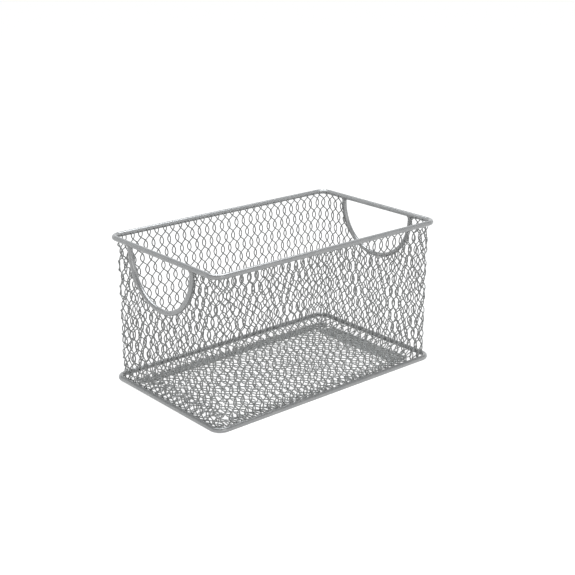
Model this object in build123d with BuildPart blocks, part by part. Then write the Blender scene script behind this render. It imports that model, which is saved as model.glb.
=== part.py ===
from build123d import *

import math
import os

# A wire locker basket: woven wire mesh walls and floor, held by a bent rod round the rim,
# a second one round the base, and a half-round rod under each end of the rim as a grip.
# Below the base rod the mesh of the walls slopes in and turns flat, and the floor panel
# lies on this turned-in edge, on which the basket stands.
# The origin is on the surface the basket stands on, below its middle. X runs along the
# long walls, Y across, Z up. The sizes are in millimetres.

os.makedirs("parts", exist_ok=True)

# Outside of the basket, over its rods
basket_length = 305.6
basket_width = 185.6
basket_height = 167.3

# Rim and base ring: one gauge of rod, bent to rounded corners
rod_diameter = 5.6
corner_bend_radius = 11.0
base_rod_clearance = 4.2

# Grips: the rod, the distance between its legs, and their straight run under the rim
grip_rod_diameter = 5.4
grip_span = 106.0
grip_leg_length = 4.9
weld_length = 2.4
weld_toe_width = 0.4
weld_throat_width = 1.5

# Mesh: thickness of the woven sheet, its strands, and the pitch of its gaps
mesh_thickness = 1.6
strand_width = 1.8
gap_pitch = 19.0
gap_row_height = 18.0
mesh_border = 2.6
mesh_rise = 1.0
mesh_lap = 1.5
corner_gap_width = 7.6

# Foot: where the mesh bends in under the base rod, how far it slopes in, and the widths of
# the flat edge under the long walls and under the ends
knee_height = 5.0
knee_lip = 1.0
slope_width = 8.7
toe_corner_radius = 2.5
side_edge_width = 14.5
end_edge_width = 24.5
panel_clearance = 0.3

cut_overrun = 4.0

# Places that follow from the sizes above
rod_radius = rod_diameter / 2
grip_rod_radius = grip_rod_diameter / 2
grip_radius = grip_span / 2
rod_half_length = (basket_length - rod_diameter) / 2
rod_half_width = (basket_width - rod_diameter) / 2
base_rod_height = base_rod_clearance + rod_radius
rim_rod_height = basket_height - rod_radius
grip_centre_height = rim_rod_height - grip_leg_length

mesh_half_length = rod_half_length - rod_radius
mesh_half_width = rod_half_width - rod_radius
mesh_corner_radius = corner_bend_radius - rod_radius
inner_corner_radius = mesh_corner_radius - mesh_thickness
flat_half_length = rod_half_length - corner_bend_radius
flat_half_width = rod_half_width - corner_bend_radius
mesh_bottom = knee_height + knee_lip
mesh_top = rim_rod_height + mesh_rise
mesh_height = mesh_top - mesh_bottom
mesh_middle = (mesh_top + mesh_bottom) / 2

# The strands narrow each diamond of the mesh on all four sides
half_pitch = gap_pitch / 2
gap_share = 1 - strand_width / 2 * math.hypot(half_pitch, gap_row_height) / (half_pitch * gap_row_height)


def gaps_in(width, height, middle=0):
    """The diamond gaps of a width x height mesh, halved where they meet its border."""
    columns = max(2, round(width / gap_pitch))
    rows = max(2, round(height / gap_row_height))
    step = width / columns
    rise = height / rows
    gaps = []
    for row in range(rows + 1):
        for column in range(columns + 1 - row % 2):
            place = column + (row % 2) / 2
            across = place * step - width / 2
            up = row * rise - height / 2 + middle
            corners = []
            if place > 0:
                corners.append((across - step / 2 * gap_share, up))
            if row > 0:
                corners.append((across, up - rise * gap_share))
            if place < columns:
                corners.append((across + step / 2 * gap_share, up))
            if row < rows:
                corners.append((across, up + rise * gap_share))
            if len(corners) > 2:
                gaps.append(Polygon(*corners, align=None, mode=Mode.PRIVATE))
    return gaps


# Rim: one rod bent round the top
with BuildPart() as top_rim:
    with BuildLine(Plane.XY.offset(rim_rod_height)) as rim_line:
        FilletPolyline(
            (-rod_half_length, -rod_half_width),
            (rod_half_length, -rod_half_width),
            (rod_half_length, rod_half_width),
            (-rod_half_length, rod_half_width),
            radius=corner_bend_radius,
            close=True,
        )
    rim_path = rim_line.wires()[0]
    with BuildSketch(Plane(origin=rim_path @ 0, z_dir=rim_path % 0)):
        Circle(rod_radius)
    sweep(path=rim_path)
top_rim.part.label = "top_rim"
export_step(top_rim.part, "parts/top_rim.step")

# Base ring: the same rod, round the foot of the walls
with BuildPart() as base_ring:
    with BuildLine(Plane.XY.offset(base_rod_height)) as base_line:
        FilletPolyline(
            (-rod_half_length, -rod_half_width),
            (rod_half_length, -rod_half_width),
            (rod_half_length, rod_half_width),
            (-rod_half_length, rod_half_width),
            radius=corner_bend_radius,
            close=True,
        )
    base_path = base_line.wires()[0]
    with BuildSketch(Plane(origin=base_path @ 0, z_dir=base_path % 0)):
        Circle(rod_radius)
    sweep(path=base_path)
base_ring.part.label = "base_ring"
export_step(base_ring.part, "parts/base_ring.step")

# Grips: a half-round rod at each end, its legs coped to the underside of the rim. A weld bead
# flares along the rim on both sides of each leg, and is flush with the rods across it.
for end_name, end in (("left", -1), ("right", 1)):
    with BuildPart() as grip:
        with BuildLine(Plane.YZ.offset(end * rod_half_length)) as grip_line:
            left_leg = Line((-grip_radius, rim_rod_height), (-grip_radius, grip_centre_height))
            bow = CenterArc((0, grip_centre_height), grip_radius, 180, 180)
            right_leg = Line((grip_radius, grip_centre_height), (grip_radius, rim_rod_height))
        with BuildSketch(Plane(origin=left_leg @ 0, z_dir=left_leg % 0)):
            Circle(grip_rod_radius)
        sweep(path=grip_line.wires()[0])
        add(top_rim.part, mode=Mode.SUBTRACT)
    grip.part.label = f"grip_{end_name}"
    export_step(grip.part, f"parts/grip_{end_name}.step")

    weld_flare = math.degrees(math.atan((weld_throat_width - weld_toe_width) / weld_length))
    with BuildPart() as grip_welds:
        with BuildSketch(Plane.XY.offset(rim_rod_height - rod_radius - weld_length)):
            with Locations(
                (end * rod_half_length, -grip_radius),
                (end * rod_half_length, grip_radius),
            ):
                Circle(grip_rod_radius + weld_toe_width)
        extrude(amount=weld_length + rod_radius / 2, taper=-weld_flare)
        with Locations((end * rod_half_length, 0, rim_rod_height)):
            Box(rod_diameter, basket_width, basket_height, mode=Mode.INTERSECT)
        add(top_rim.part, mode=Mode.SUBTRACT)
        add(grip.part, mode=Mode.SUBTRACT)
    grip_welds.part.label = f"grip_welds_{end_name}"
    export_step(grip_welds.part, f"parts/grip_welds_{end_name}.step")

# Long walls: a flat net of diamond gaps between the corners
wall_clear_height = mesh_height - 2 * mesh_border
for wall_name, side in (("front", 1), ("back", -1)):
    with BuildPart() as wall_mesh:
        with BuildSketch(Plane.XZ.offset(side * mesh_half_width)):
            with Locations((0, mesh_middle)):
                Rectangle(2 * flat_half_length, mesh_height)
            add(
                gaps_in(2 * (flat_half_length - mesh_border), wall_clear_height, mesh_middle),
                mode=Mode.SUBTRACT,
            )
        extrude(amount=-side * mesh_thickness)
    wall_mesh.part.label = f"wall_mesh_{wall_name}"
    export_step(wall_mesh.part, f"parts/wall_mesh_{wall_name}.step")

# End walls: the same net, cut away inside the grip and closed along its rod
for end_name, end in (("left", -1), ("right", 1)):
    with BuildPart() as end_mesh:
        with BuildSketch(Plane.YZ.offset(end * mesh_half_length)):
            with Locations((0, mesh_middle)):
                Rectangle(2 * flat_half_width, mesh_height)
            add(
                gaps_in(2 * (flat_half_width - mesh_border), wall_clear_height, mesh_middle),
                mode=Mode.SUBTRACT,
            )
            with Locations((0, grip_centre_height)):
                Circle(grip_radius + mesh_lap)
                Circle(grip_radius - mesh_lap, mode=Mode.SUBTRACT)
                Rectangle(
                    2 * (grip_radius + mesh_lap),
                    basket_height,
                    align=(Align.CENTER, Align.MIN),
                    mode=Mode.SUBTRACT,
                )
        extrude(amount=-end * mesh_thickness)
    end_mesh.part.label = f"end_mesh_{end_name}"
    export_step(end_mesh.part, f"parts/end_mesh_{end_name}.step")

# Rounded corners of the wall: a quarter turn of the mesh with one column of gaps
corner_rows = max(2, round(wall_clear_height / gap_row_height / 2))
corner_rise = wall_clear_height / corner_rows
for corner_name, end, side in (
    ("front_left", -1, -1),
    ("front_right", 1, -1),
    ("back_left", -1, 1),
    ("back_right", 1, 1),
):
    corner_x = end * flat_half_length
    corner_y = side * flat_half_width
    with BuildPart() as corner_mesh:
        with BuildSketch(Plane.XY.offset(mesh_bottom)):
            with Locations((corner_x, corner_y)):
                Circle(mesh_corner_radius)
                Circle(inner_corner_radius, mode=Mode.SUBTRACT)
                Rectangle(
                    mesh_corner_radius,
                    mesh_corner_radius,
                    align=(
                        Align.MIN if end > 0 else Align.MAX,
                        Align.MIN if side > 0 else Align.MAX,
                    ),
                    mode=Mode.INTERSECT,
                )
        extrude(amount=mesh_height)
        with BuildSketch(Plane((corner_x, corner_y, mesh_middle), (-side, end, 0), (end, side, 0))):
            with GridLocations(0, corner_rise, 1, corner_rows):
                Polygon(
                    (-corner_gap_width / 2, 0),
                    (0, -corner_rise / 2 * gap_share),
                    (corner_gap_width / 2, 0),
                    (0, corner_rise / 2 * gap_share),
                    align=None,
                )
        extrude(amount=mesh_corner_radius + cut_overrun, mode=Mode.SUBTRACT)
    corner_mesh.part.label = f"corner_mesh_{corner_name}"
    export_step(corner_mesh.part, f"parts/corner_mesh_{corner_name}.step")

# Foot of the mesh: it slopes in below the base ring and turns flat, with a row of gaps on
# each side and a window that the floor panel covers
toe_half_length = mesh_half_length - slope_width
toe_half_width = mesh_half_width - slope_width
window_half_length = toe_half_length - end_edge_width
window_half_width = toe_half_width - side_edge_width
slope_inner_run = slope_width - mesh_thickness + panel_clearance
with BuildPart() as foot_mesh:
    with BuildSketch(Plane.XY):
        RectangleRounded(2 * toe_half_length, 2 * toe_half_width, toe_corner_radius)
    with BuildSketch(Plane.XY.offset(knee_height)):
        RectangleRounded(2 * mesh_half_length, 2 * mesh_half_width, mesh_corner_radius)
    loft(ruled=True)
    with BuildSketch(Plane.XY.offset(knee_height)):
        RectangleRounded(2 * mesh_half_length, 2 * mesh_half_width, mesh_corner_radius)
    extrude(amount=knee_lip)
    with BuildSketch(Plane.XY.offset(mesh_thickness)):
        RectangleRounded(
            2 * (mesh_half_length - mesh_thickness - slope_inner_run),
            2 * (mesh_half_width - mesh_thickness - slope_inner_run),
            toe_corner_radius,
        )
    with BuildSketch(Plane.XY.offset(mesh_bottom)):
        RectangleRounded(
            2 * (mesh_half_length - mesh_thickness),
            2 * (mesh_half_width - mesh_thickness),
            inner_corner_radius,
        )
    loft(ruled=True, mode=Mode.SUBTRACT)
    with BuildSketch(Plane.XY):
        Rectangle(2 * window_half_length, 2 * window_half_width)
        side_row = (mesh_half_width + window_half_width) / 2
        side_reach = (mesh_half_width - window_half_width) / 2 - mesh_border
        side_count = max(2, round(2 * window_half_length / gap_pitch))
        side_step = 2 * window_half_length / side_count
        with GridLocations(side_step, 2 * side_row, side_count, 2):
            Polygon(
                (-side_step / 2 * gap_share, 0),
                (0, -side_reach),
                (side_step / 2 * gap_share, 0),
                (0, side_reach),
                align=None,
            )
        end_row = (mesh_half_length + window_half_length) / 2
        end_reach = (mesh_half_length - window_half_length) / 2 - mesh_border
        end_count = max(2, round(2 * window_half_width / gap_pitch))
        end_step = 2 * window_half_width / end_count
        with GridLocations(2 * end_row, end_step, 2, end_count):
            Polygon(
                (-end_reach, 0),
                (0, -end_step / 2 * gap_share),
                (end_reach, 0),
                (0, end_step / 2 * gap_share),
                align=None,
            )
    extrude(amount=mesh_bottom, mode=Mode.SUBTRACT)
foot_mesh.part.label = "foot_mesh"
export_step(foot_mesh.part, "parts/foot_mesh.step")

# Floor: a flat net that lies on the turned-in edge of the foot
floor_length = 2 * (mesh_half_length - mesh_thickness - slope_inner_run - panel_clearance)
floor_width = 2 * (mesh_half_width - mesh_thickness - slope_inner_run - panel_clearance)
with BuildPart() as floor_mesh:
    with BuildSketch(Plane.XY.offset(mesh_thickness)):
        RectangleRounded(floor_length, floor_width, toe_corner_radius)
        add(
            gaps_in(floor_length - 2 * mesh_border, floor_width - 2 * mesh_border),
            mode=Mode.SUBTRACT,
        )
    extrude(amount=mesh_thickness)
floor_mesh.part.label = "floor_mesh"
export_step(floor_mesh.part, "parts/floor_mesh.step")
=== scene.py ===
"""A wire locker basket: bent rods, a woven mesh of bent wires, and a studio white all round."""

import math

import bmesh
import bpy
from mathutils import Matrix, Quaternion, Vector


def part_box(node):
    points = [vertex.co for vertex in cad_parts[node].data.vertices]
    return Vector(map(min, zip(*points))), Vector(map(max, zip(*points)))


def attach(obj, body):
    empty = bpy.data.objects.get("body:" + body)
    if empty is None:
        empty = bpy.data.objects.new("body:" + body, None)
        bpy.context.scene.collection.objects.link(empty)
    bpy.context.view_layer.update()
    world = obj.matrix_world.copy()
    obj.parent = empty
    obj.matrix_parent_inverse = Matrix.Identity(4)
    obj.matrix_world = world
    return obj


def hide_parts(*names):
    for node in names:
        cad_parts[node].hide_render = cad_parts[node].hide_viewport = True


MM = 0.001

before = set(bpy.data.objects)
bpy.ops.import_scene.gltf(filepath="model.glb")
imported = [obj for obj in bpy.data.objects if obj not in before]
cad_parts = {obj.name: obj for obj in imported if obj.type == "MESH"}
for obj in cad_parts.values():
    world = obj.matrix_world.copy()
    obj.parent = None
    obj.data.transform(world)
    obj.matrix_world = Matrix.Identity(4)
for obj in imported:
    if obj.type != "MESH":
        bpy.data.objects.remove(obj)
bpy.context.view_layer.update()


# Sizes of the frame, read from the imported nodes

rim_low, rim_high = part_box("top_rim")
_, base_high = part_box("base_ring")
grip_low, grip_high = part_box("grip_left")
bend_low, bend_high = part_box("corner_mesh_front_left")
_, foot_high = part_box("foot_mesh")
panel_low, panel_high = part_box("floor_mesh")

ROD_RADIUS = (rim_high.z - rim_low.z) / 2
HALF_LENGTH = rim_high.x - ROD_RADIUS
HALF_WIDTH = rim_high.y - ROD_RADIUS
RIM_HEIGHT = rim_high.z - ROD_RADIUS
BASE_HEIGHT = base_high.z - ROD_RADIUS
BEND_RADIUS = bend_high.x - bend_low.x + ROD_RADIUS
GRIP_ROD_RADIUS = (grip_high.x - grip_low.x) / 2
GRIP_RADIUS = (grip_high.y - grip_low.y) / 2 - GRIP_ROD_RADIUS
GRIP_CENTRE = grip_low.z + GRIP_ROD_RADIUS + GRIP_RADIUS


# Sizes of the rods' meshes and of the weld beads

ROD_SIDES = 40
ROD_BEND_STEPS = 14
GRIP_STEPS = 48
WELD_SIDES = 48
WELD_ROWS = 6
WELD_WIDTH = 1.7 * MM
WELD_DROP = 2.3 * MM
WELD_OVERLAP = 0.2 * MM
WELD_INNER_SHARE = 0.985  # of the grip's rod, where the bead ends on it
WELD_ACROSS_SHARE = 0.97  # of the rim's rod, which the bead stays under
RIPPLE_HEIGHT = 0.10
RIPPLE_WAVES = 7
RIPPLE_SHIFT = 1.3


# Sizes of the woven wire. Swing, lean, slope and the shares have no unit.

WIRE_RADIUS = 0.67 * MM
WIRE_SIDES = 6
POINTS_PER_ROW = 9
WALL_BEND_STEPS = 16
WEAVE_LIFT = 0.72 * MM  # off the sheet, at a twist
WEAVE_SWING = 0.9515  # to each side, as a share of the pitch
WEAVE_ROUNDNESS = 0.044
WEAVE_ODD_SHARE = 0.10
WEAVE_REACH = 1.1  # the farthest swing, as a share of the pitch
NEARBY_WIRES = 4  # among which a bend's neighbour is looked for
WEAVE_INSET = 3.6 * MM  # from the middle of the rods to the sheet
WEAVE_MIDDLE = 80.0 * MM  # down the sheet, where its wires lean from
PUSH_REACH = 32.0 * MM
WALL_UNEVENNESS = 0.55 * MM
FLOOR_UNEVENNESS = 0.4 * MM
DRIFT_SCALE = 26.0
DRIFT_DETAIL = 2.0
DRIFT_SEED = 3.7
DRIFT_GAIN = 4.0
NOISE_MIDDLE = (0.5, 0.5, 0.5)

# The lower edge of the wall's sheet: it bends in at the knee, slopes down, and lies flat from the
# toe on. Each bend is how far in from the wall, the slope's end or the fold, and how far up.
KNEE_START = 3.0 * MM
KNEE_BENDS = ((0.6 * MM, 0.0), (2.4 * MM, -2.0 * MM))
SLOPE_WIDTH = 8.7 * MM
TOE_BEND = (1.5 * MM, 0.6 * MM)
TOE_CLEARANCE = 0.8 * MM
EDGE_WIDTH = 14.5 * MM
END_EDGE_WIDTH = 24.5 * MM
END_EDGE_REACH = 63.0 * MM  # from the middle of an end, where its edge lies flat
FOLD_RISE = 0.8 * MM
FOLD_GAP = 1.0 * MM
PRESSED_LIFT = 0.35
PRESSED_ROWS = 1.6
GATHERED_ROWS = 2.0
PANEL_RISE = 0.4 * MM

# How each wall's wires lie, in mm: their pitch, the place of the first, the height of a row, the
# drop to the first row, how far the wires lean, how far the rows slope, and how far the middle
# wires are pushed along
WALL_WEAVE = {
    "back": (5.1255, 1.7775, 13.896, -0.2, -0.0373, 0.0194, 0.6),
    "left": (5.1536, 5.381, 14.133, 4.567, -0.0628, 0.0252, 0.0),
    "front": (4.938, 6.5, 13.95, 10.1, -0.039, 0.017, -2.4),
    "right": (5.1005, 9.423, 14.104, 11.435, -0.0319, 0.0182, 0.0),
}
FLOOR_WEAVE = (4.662, 0.3, 13.575, 15.22, 0.055, -0.002, 0.0)


# Looks of the coating

CLOUD_NOISE = {"Detail": 4.0, "Roughness": 0.6}
GRAIN_NOISE = {"Detail": 3.0, "Roughness": 0.55}
NOISE_LOW = 0.3
NOISE_HIGH = 0.7
CLOUD_GLOSS = 0.6
GRAIN_GLOSS = 0.4
GRAIN_HEIGHT = 0.35
GRAIN_SCALE = 2400.0
SPECK_SCALE = 520.0
SPECK_SHADE = 0.6
RELIEF_DEPTH = 0.04 * MM
GLOSS_SPREAD = 0.08


# Sizes and looks of the studio

AMBIENT_LIGHT = 0.8
CEILING_START = 0.35
CEILING_END = 0.6
CEILING_LEVEL = 0.3
TABLE_HALF_WIDTH = 30.0
TABLE_ROUGHNESS = 0.7
TABLE_COLOUR = (0.45, 0.445, 0.435, 1.0)
TABLE_SHADOW_COLOUR = (0.22, 0.22, 0.22, 1.0)
TABLE_WHITE = 0.92
WHITE = (1.0, 1.0, 1.0, 1.0)

# Each soft box: its place, what it is aimed at, its size, its power in watts, and its colour
SOFT_BOXES = {
    "key": ((0.14, 0.17, 1.27), (0.0, 0.0, 0.1), 1.0, 20.0, (0.96, 0.98, 1.0)),
    "front": ((-0.2, -1.5, 0.5), (0.0, 0.0, 0.08), 0.8, 3.0, (1.0, 0.99, 0.97)),
}

# The camera's place and aim, found from the straight sides of the rim and the base ring. Angles
# are in degrees, and distances are in lengths of the basket, between its rods.
CAMERA_AZIMUTH = -40.811
CAMERA_ELEVATION = 19.115
CAMERA_ROLL = 0.184
CAMERA_DISTANCE = 4.1639
CAMERA_SIDE = 0.0397
CAMERA_RISE = 0.2879
CAMERA_FOCUS = 1125.6
PHOTO_WIDTH = 575.0
SENSOR_WIDTH = 36.0


# Small tools


def link(piece):
    """Puts a new object into the scene."""
    bpy.context.scene.collection.objects.link(piece)
    return piece


def dress(piece, node):
    """Puts a finished piece in the place of a node."""
    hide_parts(node)
    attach(piece, "root")


def rounded_rectangle(half_x, half_y, radius, steps):
    """Points of a rounded rectangle, anticlockwise from the middle of its back side."""
    points = [(0.0, half_y)]
    corners = ((-1, 1, 90), (-1, -1, 180), (1, -1, 270), (1, 1, 0))
    for x_side, y_side, start in corners:
        for step in range(steps + 1):
            angle = math.radians(start + 90 * step / steps)
            points.append(
                (
                    x_side * (half_x - radius) + radius * math.cos(angle),
                    y_side * (half_y - radius) + radius * math.sin(angle),
                )
            )
    return points


def curve_through(name, points, closed=False):
    """A curve of straight runs through the points."""
    data = bpy.data.curves.new(name, "CURVE")
    data.dimensions = "3D"
    spline = data.splines.new("POLY")
    spline.points.add(len(points) - 1)
    for point, place in zip(spline.points, points):
        point.co = (*place, 1.0)
    spline.use_cyclic_u = closed
    return link(bpy.data.objects.new(name, data))


def joined(name, pieces):
    """One mesh object of several."""
    shape = bmesh.new()
    for piece in pieces:
        shape.from_mesh(piece.data)
    mesh = bpy.data.meshes.new(name)
    shape.to_mesh(mesh)
    shape.free()
    for material in pieces[0].data.materials:
        mesh.materials.append(material)
    for piece in pieces:
        bpy.data.objects.remove(piece)
    return link(bpy.data.objects.new(name, mesh))


class Writer:
    """Writes a node tree one node at a time."""

    def __init__(self, tree):
        self.tree = tree

    def add(self, kind, settings=None, **inputs):
        """A node with its settings and inputs; an input's underscores stand for spaces."""
        node = self.tree.nodes.new(kind)
        for name, value in (settings or {}).items():
            setattr(node, name, value)
        for name, value in inputs.items():
            self.feed(node.inputs[name.replace("_", " ")], value)
        return node

    def feed(self, socket, value):
        """Links an output to a socket, or sets a plain value on it."""
        if isinstance(value, bpy.types.NodeSocket):
            self.tree.links.new(value, socket)
        else:
            socket.default_value = value

    def math(self, operation, *values):
        """The result of one sum."""
        node = self.add("ShaderNodeMath", {"operation": operation})
        for socket, value in zip(node.inputs, values):
            self.feed(socket, value)
        return node.outputs[0]


# Trees


class ShapeTree(Writer):
    """A Geometry Nodes tree that turns curves into round tubes."""

    def __init__(self, name, inputs):
        super().__init__(bpy.data.node_groups.new(name, "GeometryNodeTree"))
        sockets = self.tree.interface
        sockets.new_socket("Geometry", in_out="INPUT", socket_type="NodeSocketGeometry")
        for kind, names in inputs.items():
            for input_name in names:
                sockets.new_socket(input_name, in_out="INPUT", socket_type="NodeSocket" + kind)
        sockets.new_socket("Geometry", in_out="OUTPUT", socket_type="NodeSocketGeometry")
        self.enter = self.tree.nodes.new("NodeGroupInput")
        self.leave = self.tree.nodes.new("NodeGroupOutput")

    def given(self, name):
        """One of the tree's own inputs."""
        return self.enter.outputs[name]

    def vector(self, operation, *values, scale=None):
        """The result of one sum of vectors."""
        node = self.add("ShaderNodeVectorMath", {"operation": operation})
        for socket, value in zip(node.inputs, values):
            self.feed(socket, value)
        if scale is not None:
            self.feed(node.inputs["Scale"], scale)
        return node.outputs[0]

    def parts(self, vector):
        """The X, Y and Z of a vector."""
        return self.add("ShaderNodeSeparateXYZ", Vector=vector).outputs

    def along(self, curve, length):
        """Where a curve is, and which way it goes, at a length along it."""
        return self.add(
            "GeometryNodeSampleCurve", {"mode": "LENGTH"}, Curves=curve, Length=length
        ).outputs

    def end_in_tubes(self, curves):
        """Ends the tree in real geometry: tubes with closed ends, of one material."""
        ring = self.add(
            "GeometryNodeCurvePrimitiveCircle",
            Resolution=self.given("Sides"),
            Radius=self.given("Radius"),
        )
        tubes = self.add(
            "GeometryNodeCurveToMesh", Curve=curves, Profile_Curve=ring.outputs[0], Fill_Caps=True
        )
        real = self.add("GeometryNodeRealizeInstances", Geometry=tubes.outputs[0])
        smooth = self.add("GeometryNodeSetShadeSmooth", Geometry=real.outputs[0])
        finish = self.add(
            "GeometryNodeSetMaterial", Geometry=smooth.outputs[0], Material=self.given("Material")
        )
        self.feed(self.leave.inputs["Geometry"], finish.outputs[0])
        return self.tree


def run_tree(name, source, tree, **values):
    """A plain mesh object made by a tree from a source object; inputs are set by identifier."""
    modifier = source.modifiers.new("make", "NODES")
    modifier.node_group = tree
    for item in tree.interface.items_tree:
        key = item.name.replace(" ", "_").lower()
        if item.in_out == "INPUT" and key in values:
            modifier[item.identifier] = values[key]
    bpy.context.view_layer.update()
    graph = bpy.context.evaluated_depsgraph_get()
    mesh = bpy.data.meshes.new_from_object(source.evaluated_get(graph), depsgraph=graph)
    source.modifiers.remove(modifier)
    mesh.name = name
    return link(bpy.data.objects.new(name, mesh))


def rod_tree():
    """A round rod along a curve."""
    tree = ShapeTree(
        "bent_rod", {"Float": ("Radius",), "Int": ("Sides",), "Material": ("Material",)}
    )
    return tree.end_in_tubes(tree.given("Geometry"))


class WeaveTree(ShapeTree):
    """Wires side by side along a curve. Each swings to and fro and meets its two neighbours in
    turn, with a twist at every meeting; together they follow the sheet's profile."""

    INPUTS = {
        "Object": ("Profile",),
        "Int": ("First Wire", "Wires", "Points", "Sides"),
        "Float": (
            "Path Length",
            "Pitch",
            "Wire Start",
            "Swing",
            "Roundness",
            "Odd Share",
            "Lift",
            "Pressed From",
            "Pressed Lift",
            "Pressed Rows",
            "Row",
            "Row Start",
            "Lean",
            "Slope",
            "Middle Along",
            "Push",
            "Push Reach",
            "Middle Down",
            "Unevenness",
            "Top",
            "Bottom",
            "Radius",
            "Grip Radius",
            "Grip Centre",
        ),
        "Material": ("Material",),
    }

    def __init__(self):
        super().__init__("woven_wires", self.INPUTS)
        given, wires = self.given, self.straight_wires()
        which = self.add("GeometryNodeCurveOfPoint")
        number = self.math("ADD", which.outputs["Curve Index"], given("First Wire"))
        share = self.parts(self.add("GeometryNodeInputPosition").outputs[0])["Z"]
        reach = self.math("SUBTRACT", given("Bottom"), given("Top"))
        down = self.math("MULTIPLY_ADD", share, reach, given("Top"))
        along, lift = self.bends(number, down)
        along, down = self.drifted(along, down, share)
        place = self.place(along, down, lift)
        bent = self.add("GeometryNodeSetPosition", Geometry=wires, Position=place)
        kept = self.add(
            "GeometryNodeDeleteGeometry",
            {"domain": "POINT"},
            Geometry=bent.outputs[0],
            Selection=self.inside_grip(),
        )
        self.end_in_tubes(kept.outputs[0])

    def straight_wires(self):
        """Straight wires, one long, with points enough for their bends."""
        given = self.given
        line = self.add(
            "GeometryNodeCurvePrimitiveLine", Start=(0.0, 0.0, 0.0), End=(0.0, 0.0, 1.0)
        )
        dense = self.add(
            "GeometryNodeResampleCurve", Curve=line.outputs[0], Count=given("Points")
        )
        places = self.add("GeometryNodePoints", Count=given("Wires"))
        copies = self.add(
            "GeometryNodeInstanceOnPoints", Points=places.outputs[0], Instance=dense.outputs[0]
        )
        return self.add("GeometryNodeRealizeInstances", Geometry=copies.outputs[0]).outputs[0]

    def bends(self, number, down):
        """How far along the path a wire is, and how far off the sheet."""
        given, calc = self.given, self.math

        # Where the sheet is pressed flat, its rows are crushed together
        crush = calc("MAXIMUM", calc("SUBTRACT", down, given("Pressed From")), 0.0)
        crushed = calc("MULTIPLY_ADD", crush, given("Pressed Rows"), down)
        straight = calc("MULTIPLY_ADD", number, given("Pitch"), given("Wire Start"))
        aside = calc("SUBTRACT", straight, given("Middle Along"))
        row_start = calc("ADD", calc("MULTIPLY", aside, given("Slope")), given("Row Start"))
        turn = calc("DIVIDE", calc("SUBTRACT", crushed, row_start), given("Row"))
        angle = calc("MULTIPLY", turn, math.pi)

        # The swing, with rounded turns, and with neighbours in opposite phase. Every second wire
        # is bent a little more or a little less than those between.
        phase = calc("MULTIPLY", calc("FLOORED_MODULO", number, 2.0), 2.0)
        side = calc("SUBTRACT", phase, 1.0)
        third = calc("COSINE", calc("MULTIPLY", angle, 3.0))
        third = calc("MULTIPLY", third, given("Roundness"))
        wave = calc("SUBTRACT", calc("COSINE", angle), third)
        odd = calc("SINE", calc("MULTIPLY", number, math.pi / 2))
        bend = calc("MULTIPLY_ADD", odd, given("Odd Share"), 1.0)
        reach = calc("MULTIPLY", bend, given("Swing"))
        swing = calc("MULTIPLY", calc("MULTIPLY", wave, side), reach)

        # All the wires lean, and those in the middle of the wall are pushed along
        below = calc("SUBTRACT", down, given("Middle Down"))
        leaning = calc("MULTIPLY", below, given("Lean"))
        apart = calc("POWER", calc("DIVIDE", aside, given("Push Reach")), 2.0)
        pushed = calc("DIVIDE", given("Push"), calc("EXPONENT", apart))
        along = calc("ADD", straight, leaning)
        along = calc("ADD", along, calc("ADD", swing, pushed))

        # The twist that goes with the swing
        pressed = self.add(
            "ShaderNodeMapRange",
            {"interpolation_type": "SMOOTHSTEP"},
            Value=down,
            From_Min=given("Pressed From"),
            From_Max=calc("ADD", given("Pressed From"), given("Row")),
            To_Min=1.0,
            To_Max=given("Pressed Lift"),
        )
        twist = calc("MULTIPLY", calc("SINE", angle), side)
        lift = calc("MULTIPLY", calc("MULTIPLY", twist, given("Lift")), pressed.outputs[0])
        return along, lift

    def on_path(self, along):
        """Where the path is, and which way it goes. It starts again where it ends."""
        wrapped = self.math("WRAP", along, self.given("Path Length"), 0.0)
        return self.along(self.given("Geometry"), wrapped)

    def drifted(self, along, down, share):
        """Hand-made unevenness: slow drifts along and down the sheet."""
        depth = self.add("ShaderNodeCombineXYZ", Z=self.math("MULTIPLY", down, -1.0))
        noise = self.add(
            "ShaderNodeTexNoise",
            {"noise_dimensions": "4D"},
            Vector=self.vector("ADD", self.on_path(along)["Position"], depth.outputs[0]),
            W=DRIFT_SEED,
            Scale=DRIFT_SCALE,
            Detail=DRIFT_DETAIL,
        )
        drift = self.vector("SUBTRACT", noise.outputs["Color"], NOISE_MIDDLE)
        drift = self.vector("SCALE", drift, scale=DRIFT_GAIN)
        drift = self.parts(self.vector("SCALE", drift, scale=self.given("Unevenness")))
        ease = self.math("SINE", self.math("MULTIPLY", share, math.pi))
        return (
            self.math("ADD", along, drift["X"]),
            self.math("MULTIPLY_ADD", drift["Y"], ease, down),
        )

    def place(self, along, down, lift):
        """The path gives the place along the basket, and the profile the place across the sheet."""
        path = self.on_path(along)
        outward = self.vector("CROSS_PRODUCT", path["Tangent"], (0.0, 0.0, 1.0))
        outward = self.vector("NORMALIZE", outward)
        line = self.add("GeometryNodeObjectInfo", Object=self.given("Profile"))
        profile = self.along(line.outputs["Geometry"], down)
        at = self.parts(profile["Position"])
        way = self.parts(profile["Tangent"])
        away = self.math("MULTIPLY", self.math("MULTIPLY", way["Z"], -1.0), lift)
        out = self.math("ADD", at["X"], away)
        up = self.math("MULTIPLY_ADD", way["X"], lift, at["Z"])
        height = self.add("ShaderNodeCombineXYZ", Z=up)
        place = self.vector("ADD", path["Position"], self.vector("SCALE", outward, scale=out))
        return self.vector("ADD", place, height.outputs[0])

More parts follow.
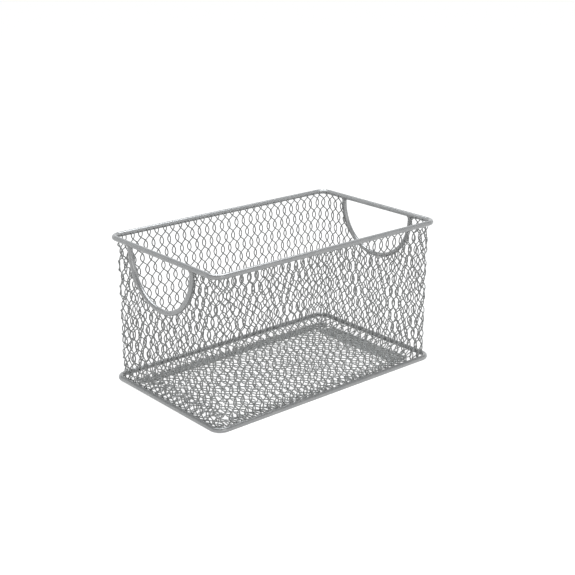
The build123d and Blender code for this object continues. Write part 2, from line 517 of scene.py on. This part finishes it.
    def inside_grip(self):
        """True for a point inside the grip, where the mesh stops at the rod."""
        spot = self.parts(self.add("GeometryNodeInputPosition").outputs[0])
        drop = self.math("SUBTRACT", spot["Z"], self.given("Grip Centre"))
        drop = self.math("MINIMUM", drop, 0.0)
        across = self.math("MULTIPLY", spot["Y"], spot["Y"])
        distance = self.math("SQRT", self.math("MULTIPLY_ADD", drop, drop, across))
        return self.math("LESS_THAN", distance, self.given("Grip Radius"))


# Finishes


class Shader(Writer):
    """Writes a material or a shader group."""

    def spread(self, value, low, high, to_low, to_high):
        """A value carried from one range to another."""
        return self.add(
            "ShaderNodeMapRange",
            Value=value,
            From_Min=low,
            From_Max=high,
            To_Min=to_low,
            To_Max=to_high,
        ).outputs[0]

    def blend(self, share, first, second):
        """A colour between two others."""
        node = self.add("ShaderNodeMix", {"data_type": "RGBA"})
        self.feed(node.inputs[0], share)
        self.feed(node.inputs[6], first)
        self.feed(node.inputs[7], second)
        return node.outputs[2]


def coating_group():
    """What a dipped coating shows: clouds of thicker and thinner coat, fine grain, and specks."""
    group = bpy.data.node_groups.new("dipped_coating", "ShaderNodeTree")
    for name, kind in (
        ("Place", "Vector"),
        ("Cloud Scale", "Float"),
        ("Grain Scale", "Float"),
        ("Speck Scale", "Float"),
        ("Speck Size", "Float"),
    ):
        group.interface.new_socket(name, in_out="INPUT", socket_type="NodeSocket" + kind)
    for name in ("Thickness", "Gloss", "Speck", "Height"):
        group.interface.new_socket(name, in_out="OUTPUT", socket_type="NodeSocketFloat")
    draw = Shader(group)
    given = draw.add("NodeGroupInput").outputs
    leave = draw.add("NodeGroupOutput")
    place = given["Place"]
    cloud = draw.add(
        "ShaderNodeTexNoise", Vector=place, Scale=given["Cloud Scale"], **CLOUD_NOISE
    )
    grain = draw.add(
        "ShaderNodeTexNoise", Vector=place, Scale=given["Grain Scale"], **GRAIN_NOISE
    )
    speck = draw.add(
        "ShaderNodeTexVoronoi", {"feature": "F1"}, Vector=place, Scale=given["Speck Scale"]
    )
    thick = draw.spread(cloud.outputs["Fac"], NOISE_LOW, NOISE_HIGH, 0.0, 1.0)
    fine = draw.spread(grain.outputs["Fac"], NOISE_LOW, NOISE_HIGH, 0.0, 1.0)
    near = draw.math("SUBTRACT", 1.0, speck.outputs["Distance"])
    spot = draw.math("GREATER_THAN", near, given["Speck Size"])
    gloss = draw.math("MULTIPLY_ADD", thick, CLOUD_GLOSS, draw.math("MULTIPLY", fine, GRAIN_GLOSS))
    height = draw.math("MULTIPLY_ADD", fine, GRAIN_HEIGHT, thick)
    draw.feed(leave.inputs["Thickness"], thick)
    draw.feed(leave.inputs["Gloss"], gloss)
    draw.feed(leave.inputs["Speck"], spot)
    draw.feed(leave.inputs["Height"], height)
    return group


coating = coating_group()


def coated_steel(name, thin, thick, metal, roughness, relief, cloud_scale, speck_size):
    """Steel with a satin silver-grey coating: darker where it is thin, with a few dark specks."""
    material = bpy.data.materials.new(name)
    material.use_nodes = True
    draw = Shader(material.node_tree)
    surface = material.node_tree.nodes["Principled BSDF"]
    coat = draw.add(
        "ShaderNodeGroup",
        {"node_tree": coating},
        Place=draw.add("ShaderNodeTexCoord").outputs["Object"],
        Cloud_Scale=cloud_scale,
        Grain_Scale=GRAIN_SCALE,
        Speck_Scale=SPECK_SCALE,
        Speck_Size=speck_size,
    ).outputs
    colour = draw.blend(coat["Thickness"], (*thin, 1.0), (*thick, 1.0))
    dark = [part * SPECK_SHADE for part in thin]
    colour = draw.blend(coat["Speck"], colour, (*dark, 1.0))
    rough, glossy = roughness + GLOSS_SPREAD, roughness - GLOSS_SPREAD
    bump = draw.add(
        "ShaderNodeBump", Height=coat["Height"], Strength=relief, Distance=RELIEF_DEPTH
    )
    draw.feed(surface.inputs["Base Color"], colour)
    draw.feed(surface.inputs["Roughness"], draw.spread(coat["Gloss"], 0.0, 1.0, rough, glossy))
    draw.feed(surface.inputs["Normal"], bump.outputs["Normal"])
    draw.feed(surface.inputs["Metallic"], metal)
    return material


rod_coat = coated_steel(
    "coated_rod",
    thin=(0.34, 0.35, 0.355),
    thick=(0.40, 0.405, 0.405),
    metal=0.45,
    roughness=0.23,
    relief=0.12,
    cloud_scale=90.0,
    speck_size=0.93,
)
wire_coat = coated_steel(
    "coated_wire",
    thin=(0.265, 0.275, 0.275),
    thick=(0.36, 0.365, 0.36),
    metal=0.2,
    roughness=0.34,
    relief=0.15,
    cloud_scale=240.0,
    speck_size=0.92,
)
weld_coat = coated_steel(
    "coated_weld",
    thin=(0.26, 0.265, 0.27),
    thick=(0.37, 0.375, 0.375),
    metal=0.5,
    roughness=0.42,
    relief=0.5,
    cloud_scale=500.0,
    speck_size=0.85,
)


# Rods

bent_rod = rod_tree()


def rod_along(name, points, radius, closed=False):
    """A bent rod along its points."""
    path = curve_through(name + "_line", points, closed)
    rod = run_tree(name, path, bent_rod, radius=radius, sides=ROD_SIDES, material=rod_coat)
    bpy.data.objects.remove(path)
    return rod


def rod_ring(name, height):
    """The rod of the rim or the base ring."""
    outline = rounded_rectangle(HALF_LENGTH, HALF_WIDTH, BEND_RADIUS, ROD_BEND_STEPS)
    return rod_along(name, [(x, y, height) for x, y in outline], ROD_RADIUS, closed=True)


def grip_rod(name, end):
    """A half-round grip under one end of the rim."""
    x = end * HALF_LENGTH
    points = [(x, -GRIP_RADIUS, RIM_HEIGHT)]
    for step in range(GRIP_STEPS + 1):
        angle = math.pi + math.pi * step / GRIP_STEPS
        y = GRIP_RADIUS * math.cos(angle)
        points.append((x, y, GRIP_CENTRE + GRIP_RADIUS * math.sin(angle)))
    points.append((x, GRIP_RADIUS, RIM_HEIGHT))
    return rod_along(name, points, GRIP_ROD_RADIUS)


def weld_ring(share, end, leg):
    """Points round a weld bead, from its edge on the rim, 0, to its edge on the grip, 1."""
    widest = ROD_RADIUS * WELD_ACROSS_SHARE
    points = []
    for step in range(WELD_SIDES):
        angle = 2 * math.pi * step / WELD_SIDES
        wave = math.sin(RIPPLE_WAVES * angle + RIPPLE_SHIFT * leg + end)
        ripple = 1 + RIPPLE_HEIGHT * wave * math.sin(math.pi * share)
        spread = GRIP_ROD_RADIUS * WELD_INNER_SHARE + WELD_WIDTH * ripple * (1 - share) ** 2
        x = max(-widest, min(widest, spread * math.cos(angle)))
        y = spread * math.sin(angle)
        saddle = -math.sqrt(ROD_RADIUS**2 - x**2)
        z = saddle + WELD_OVERLAP - WELD_DROP * share**0.8 * ripple
        points.append((end * HALF_LENGTH + x, leg * GRIP_RADIUS + y, RIM_HEIGHT + z))
    return points


def weld_beads(name, end):
    """The two weld beads of a grip: a rippled fillet between each leg and the rim."""
    shape = bmesh.new()
    for leg in (-1, 1):
        rings = []
        for row in range(WELD_ROWS + 1):
            points = weld_ring(row / WELD_ROWS, end, leg)
            rings.append([shape.verts.new(point) for point in points])
        for upper, lower in zip(rings, rings[1:]):
            for step in range(WELD_SIDES):
                after = (step + 1) % WELD_SIDES
                shape.faces.new((upper[step], lower[step], lower[after], upper[after]))
        shape.faces.new(rings[0])
        shape.faces.new(list(reversed(rings[-1])))
    bmesh.ops.recalc_face_normals(shape, faces=shape.faces)
    mesh = bpy.data.meshes.new(name)
    shape.to_mesh(mesh)
    shape.free()
    for face in mesh.polygons:
        face.use_smooth = True
    mesh.materials.append(weld_coat)
    return link(bpy.data.objects.new(name, mesh))


for node, height in (("top_rim", RIM_HEIGHT), ("base_ring", BASE_HEIGHT)):
    dress(rod_ring(node + "_rod", height), node)

for side, end in (("left", -1), ("right", 1)):
    dress(grip_rod(f"grip_{side}_rod", end), f"grip_{side}")
    dress(weld_beads(f"grip_{side}_weld", end), f"grip_welds_{side}")


# Woven wire of the walls: one sheet that wraps round the basket

weave = WeaveTree().tree
wall_half_length = HALF_LENGTH - WEAVE_INSET
wall_half_width = HALF_WIDTH - WEAVE_INSET
wall_bend = BEND_RADIUS - WEAVE_INSET
wall_outline = rounded_rectangle(wall_half_length, wall_half_width, wall_bend, WALL_BEND_STEPS)
wall_path = curve_through("wall_path", [(x, y, 0.0) for x, y in wall_outline], closed=True)
wall_length = sum(
    math.dist(here, after) for here, after in zip(wall_outline, wall_outline[1:] + wall_outline[:1])
)


def sheet_profile(name, edge_width):
    """Down the wall, in below the base ring, flat under the floor panel, and folded back on top.
    With it come the lengths down it to the knee, to the toe and to its end."""
    knee = foot_high.z
    toe = WIRE_RADIUS + TOE_CLEARANCE
    toe_start = (-SLOPE_WIDTH, 0.0, toe)
    points = [(0.0, 0.0, RIM_HEIGHT), (0.0, 0.0, knee + KNEE_START)]
    points += [(-inward, 0.0, knee + up) for inward, up in KNEE_BENDS]
    points += [
        (-(SLOPE_WIDTH - TOE_BEND[0]), 0.0, toe + TOE_BEND[1]),
        toe_start,
        (-(SLOPE_WIDTH + edge_width), 0.0, toe),
        (-(SLOPE_WIDTH + edge_width), 0.0, toe + FOLD_RISE),
        (-(SLOPE_WIDTH + FOLD_GAP), 0.0, toe + FOLD_RISE),
    ]
    runs = [math.dist(here, after) for here, after in zip(points, points[1:])]
    to_toe = sum(runs[: points.index(toe_start)])
    return curve_through(name, points), runs[0], to_toe, sum(runs)


side_profile, knee_down, toe_down, side_down = sheet_profile("side_profile", EDGE_WIDTH)
end_profile, _, _, end_down = sheet_profile("end_profile", END_EDGE_WIDTH)


class Lattice:
    """Where the wires of one stretch of sheet lie along the path, and where their rows begin."""

    def __init__(self, pitch, start, row, row_start, lean, slope, push, middle):
        self.pitch, self.start, self.middle = pitch, start, middle
        self.row, self.row_start = row, row_start
        self.lean, self.slope, self.push = lean, slope, push

    def inputs(self):
        """What the weave's tree is given of it."""
        return {
            "pitch": self.pitch,
            "wire_start": self.start,
            "swing": WEAVE_SWING * self.pitch,
            "row": self.row,
            "row_start": self.row_start,
            "lean": self.lean,
            "slope": self.slope,
            "push": self.push,
            "push_reach": PUSH_REACH,
            "middle_along": self.middle,
        }

    def between(self, low, high):
        """Number of the first wire, and how many there are, from one place to another."""
        first = math.ceil((low - self.start) / self.pitch)
        return first, math.ceil((high - self.start) / self.pitch) - first

    def row_start_at(self, place):
        """The drop to the first row at a place on the path."""
        return self.row_start + self.slope * (place - self.middle)

    def moved(self, way):
        """The same lattice further along the path."""
        return Lattice(
            self.pitch,
            self.start + way,
            self.row,
            self.row_start,
            self.lean,
            self.slope,
            self.push,
            self.middle + way,
        )


def measured_lattice(sizes, middle):
    """The lattice of a wall or of the floor, from the table of sizes."""
    pitch, start, row, row_start, lean, slope, push = sizes
    return Lattice(pitch * MM, start * MM, row * MM, row_start * MM, lean, slope, push * MM, middle)


def corner_lattice(before, after, low, high):
    """The few wires round a bend, spaced evenly between the walls on either side of it. Where the
    rows of the two walls are an odd number apart, their wires are in opposite phase as well.
    With them come the number of the first, and how many there are."""
    first_before, count_before = before.between(low - NEARBY_WIRES * before.pitch, low)
    last = first_before + count_before - 1
    following, _ = after.between(high, high + NEARBY_WIRES * after.pitch)
    gap = after.start + following * after.pitch - (before.start + last * before.pitch)
    row = (before.row + after.row) / 2
    row_start = before.row_start_at(low)
    rows = round((row_start - after.row_start_at(high)) / row)
    steps = round(gap / before.pitch)
    if (last + steps - following - rows) % 2:
        steps += 1 if gap / before.pitch > steps else -1
    pitch = gap / steps
    start = before.start + last * (before.pitch - pitch)
    slope = (after.row_start_at(high) + rows * row - row_start) / (high - low)
    lean = (before.lean + after.lean) / 2
    lattice = Lattice(pitch, start, row, row_start, lean, slope, 0.0, low)
    return lattice, (last + 1, steps - 1)


def weave_piece(name, path, wires, top, bottom, lattice, pressed_from, **values):
    """A stretch of woven sheet. Its wires are the number of the first, and how many there are."""
    values = {"pressed_rows": 0.0, "grip_radius": 0.0, **values}
    pressed = max(0.0, bottom - pressed_from) * values["pressed_rows"]
    points = max(3, round((bottom - top + pressed) / lattice.row * POINTS_PER_ROW))
    return run_tree(
        name,
        path,
        weave,
        first_wire=wires[0],
        wires=wires[1],
        top=top,
        bottom=bottom,
        points=points,
        grip_centre=GRIP_CENTRE,
        lift=WEAVE_LIFT,
        pressed_from=pressed_from,
        pressed_lift=PRESSED_LIFT,
        middle_down=WEAVE_MIDDLE,
        roundness=WEAVE_ROUNDNESS,
        odd_share=WEAVE_ODD_SHARE,
        radius=WIRE_RADIUS,
        sides=WIRE_SIDES,
        material=wire_coat,
        **lattice.inputs(),
        **values,
    )


def wall_piece(name, wires, top, bottom, lattice, profile, pressed_from=toe_down, **values):
    """A stretch of the sheet that wraps round the basket."""
    return weave_piece(
        name,
        wall_path,
        wires,
        top,
        bottom,
        lattice,
        pressed_from,
        profile=profile,
        path_length=wall_length,
        unevenness=WALL_UNEVENNESS,
        **values,
    )


flat_long = 2 * (wall_half_length - wall_bend)
flat_short = 2 * (wall_half_width - wall_bend)
bend_run = (wall_length - 2 * flat_long - 2 * flat_short) / 4
end_trim = flat_short / 2 - END_EDGE_REACH


class Wall:
    """One flat side of the sheet: its node, its place on the path, its profile, how far down that
    its turned-in edge goes, how hard the edge is pressed, and the radius of its grip."""

    def __init__(self, side, start, run, profile, down, crush, grip_radius):
        self.node = ("end_mesh_" if grip_radius else "wall_mesh_") + side
        self.start, self.run = start, run
        self.profile, self.down = profile, down
        self.crush, self.grip_radius = crush, grip_radius
        self.lattice = measured_lattice(WALL_WEAVE[side], start + run / 2)

    def edges(self):
        """The start, the run and the depth of each stretch of its turned-in edge. At the ends of
        the basket the edge lies flat only in the middle."""
        if not self.grip_radius:
            return [(self.start, self.run, self.down)]
        return [
            (self.start, end_trim, toe_down),
            (self.start + end_trim, self.run - 2 * end_trim, self.down),
            (self.start + self.run - end_trim, end_trim, toe_down),
        ]

    def piece(self, name, start, run, top, bottom, **values):
        """A stretch of it."""
        wires = self.lattice.between(start, start + run)
        return wall_piece(
            self.node + name, wires, top, bottom, self.lattice, self.profile, **values
        )


walls = []
place = -flat_long / 2
for side, run, profile, down, crush, grip_radius in (
    ("back", flat_long, side_profile, side_down, PRESSED_ROWS, 0.0),
    ("left", flat_short, end_profile, toe_down + END_EDGE_WIDTH, 0.0, GRIP_RADIUS),
    ("front", flat_long, side_profile, toe_down + EDGE_WIDTH, 0.0, 0.0),
    ("right", flat_short, end_profile, end_down, PRESSED_ROWS, GRIP_RADIUS),
):
    walls.append(Wall(side, place, run, profile, down, crush, grip_radius))
    place += run + bend_run

foot_parts = []
for wall in walls:
    sheet = wall.piece(
        "_wires", wall.start, wall.run, 0.0, knee_down, grip_radius=wall.grip_radius
    )
    dress(sheet, wall.node)
    for start, run, down in wall.edges():
        foot_parts.append(
            wall.piece("_foot", start, run, knee_down, down, pressed_rows=wall.crush)
        )

corners = ("back_left", "front_left", "front_right", "back_right")
for corner, before, after in zip(corners, walls, walls[1:] + walls[:1]):
    low = before.start + before.run
    after_lattice = after.lattice
    if corner == "back_right":
        after_lattice = after_lattice.moved(wall_length)
    lattice, wires = corner_lattice(before.lattice, after_lattice, low, low + bend_run)
    node = "corner_mesh_" + corner
    gathered = {}
    if corner == "front_left":
        # The photograph shows two rows more, crushed together, above this corner of the base
        gathered = {"pressed_from": knee_down - lattice.row, "pressed_rows": GATHERED_ROWS}
    sheet = wall_piece(node + "_wires", wires, 0.0, knee_down, lattice, side_profile, **gathered)
    dress(sheet, node)
    foot_parts.append(
        wall_piece(node + "_foot", wires, knee_down, toe_down, lattice, side_profile)
    )

dress(joined("foot_mesh_wires", foot_parts), "foot_mesh")


# Woven wire of the floor panel: its wires run across the basket, and it is pressed nowhere

panel_length = 2 * panel_high.x
panel_width = 2 * panel_high.y
panel_height = (panel_low.z + panel_high.z) / 2 + PANEL_RISE
panel_path = curve_through(
    "panel_path", [(-panel_high.x, 0.0, panel_height), (panel_high.x, 0.0, panel_height)]
)
panel_profile = curve_through(
    "panel_profile", [(-panel_high.y, 0.0, 0.0), (panel_high.y, 0.0, 0.0)]
)
panel_lattice = measured_lattice(FLOOR_WEAVE, panel_high.x)
panel_margin = WEAVE_REACH * panel_lattice.pitch + WIRE_RADIUS
panel_margin += abs(panel_lattice.lean) * WEAVE_MIDDLE
floor_mesh = weave_piece(
    "floor_mesh_wires",
    panel_path,
    panel_lattice.between(panel_margin, panel_length - panel_margin),
    0.0,
    panel_width,
    panel_lattice,
    2 * panel_width,
    profile=panel_profile,
    path_length=panel_length,
    unevenness=FLOOR_UNEVENNESS,
)
dress(floor_mesh, "floor_mesh")
for line in (wall_path, side_profile, end_profile, panel_path, panel_profile):
    bpy.data.objects.remove(line)


# Studio


def seen_directly(draw):
    """One for rays that show the background itself, its reflection, or a view through glass."""
    path = draw.add("ShaderNodeLightPath").outputs
    seen = draw.math("MAXIMUM", path["Is Camera Ray"], path["Is Glossy Ray"])
    return draw.math("MAXIMUM", seen, path["Is Transmission Ray"])


def studio_floor():
    """A wide table. It looks white, keeps the basket's shadow, and throws a plain pale light."""
    half = TABLE_HALF_WIDTH
    mesh = bpy.data.meshes.new("table")
    mesh.from_pydata(
        [(-half, -half, 0), (half, -half, 0), (half, half, 0), (-half, half, 0)], [], [(0, 1, 2, 3)]
    )
    material = bpy.data.materials.new("white_table")
    material.use_nodes = True
    draw = Shader(material.node_tree)
    pale = material.node_tree.nodes["Principled BSDF"]
    draw.feed(pale.inputs["Base Color"], TABLE_COLOUR)
    draw.feed(pale.inputs["Roughness"], TABLE_ROUGHNESS)
    white = draw.add("ShaderNodeEmission", Color=WHITE, Strength=TABLE_WHITE)
    shaded = draw.add("ShaderNodeBsdfDiffuse", Color=TABLE_SHADOW_COLOUR)
    both = draw.add("ShaderNodeAddShader")
    draw.feed(both.inputs[0], white.outputs[0])
    draw.feed(both.inputs[1], shaded.outputs[0])
    choice = draw.add("ShaderNodeMixShader")
    draw.feed(choice.inputs[0], seen_directly(draw))
    draw.feed(choice.inputs[1], pale.outputs[0])
    draw.feed(choice.inputs[2], both.outputs[0])
    draw.feed(material.node_tree.nodes["Material Output"].inputs["Surface"], choice.outputs[0])
    mesh.materials.append(material)
    table = link(bpy.data.objects.new("table", mesh))


def studio_world():
    """White where it is seen and round the horizon, a plain soft light elsewhere, dim overhead."""
    world = bpy.data.worlds.new("studio")
    bpy.context.scene.world = world
    world.use_nodes = True
    draw = Shader(world.node_tree)
    background = world.node_tree.nodes["Background"]
    draw.feed(background.inputs["Color"], WHITE)
    place = draw.add("ShaderNodeTexCoord")
    height = draw.add("ShaderNodeSeparateXYZ", Vector=place.outputs["Generated"]).outputs["Z"]
    ceiling = draw.spread(height, CEILING_START, CEILING_END, 1.0, CEILING_LEVEL)
    level = draw.spread(seen_directly(draw), 0.0, 1.0, AMBIENT_LIGHT, 1.0)
    dimmed = draw.math("MULTIPLY", level, ceiling)
    camera = draw.add("ShaderNodeLightPath").outputs["Is Camera Ray"]
    draw.feed(background.inputs["Strength"], draw.spread(camera, 0.0, 1.0, dimmed, 1.0))


def soft_box(name, place, aim, size, power, colour):
    """A square lamp with soft shadows."""
    data = bpy.data.lights.new(name, "AREA")
    data.shape = "SQUARE"
    data.size = size
    data.energy = power
    data.color = colour
    lamp = link(bpy.data.objects.new(name, data))
    lamp.location = place
    lamp.rotation_euler = (Vector(aim) - Vector(place)).to_track_quat("-Z", "Y").to_euler()


def studio_camera():
    """The photograph's own view."""
    azimuth = math.radians(CAMERA_AZIMUTH)
    elevation = math.radians(CAMERA_ELEVATION)
    back = Vector(
        (
            math.sin(azimuth) * math.cos(elevation),
            -math.cos(azimuth) * math.cos(elevation),
            math.sin(elevation),
        )
    )
    right = Vector((0, 0, 1)).cross(back).normalized()
    up = back.cross(right)
    data = bpy.data.cameras.new("camera")
    data.sensor_width = SENSOR_WIDTH
    data.lens = SENSOR_WIDTH * CAMERA_FOCUS / PHOTO_WIDTH
    camera = link(bpy.data.objects.new("camera", data))
    place = CAMERA_DISTANCE * back + CAMERA_SIDE * right + CAMERA_RISE * up
    camera.location = 2 * HALF_LENGTH * place + Vector((0, 0, BASE_HEIGHT))
    turn = (-back).to_track_quat("-Z", "Y") @ Quaternion((0, 0, 1), math.radians(CAMERA_ROLL))
    camera.rotation_euler = turn.to_euler()
    bpy.context.scene.camera = camera


studio_floor()
studio_world()
for name, values in SOFT_BOXES.items():
    soft_box(name, *values)
studio_camera()
bpy.context.scene.view_settings.view_transform = "Standard"
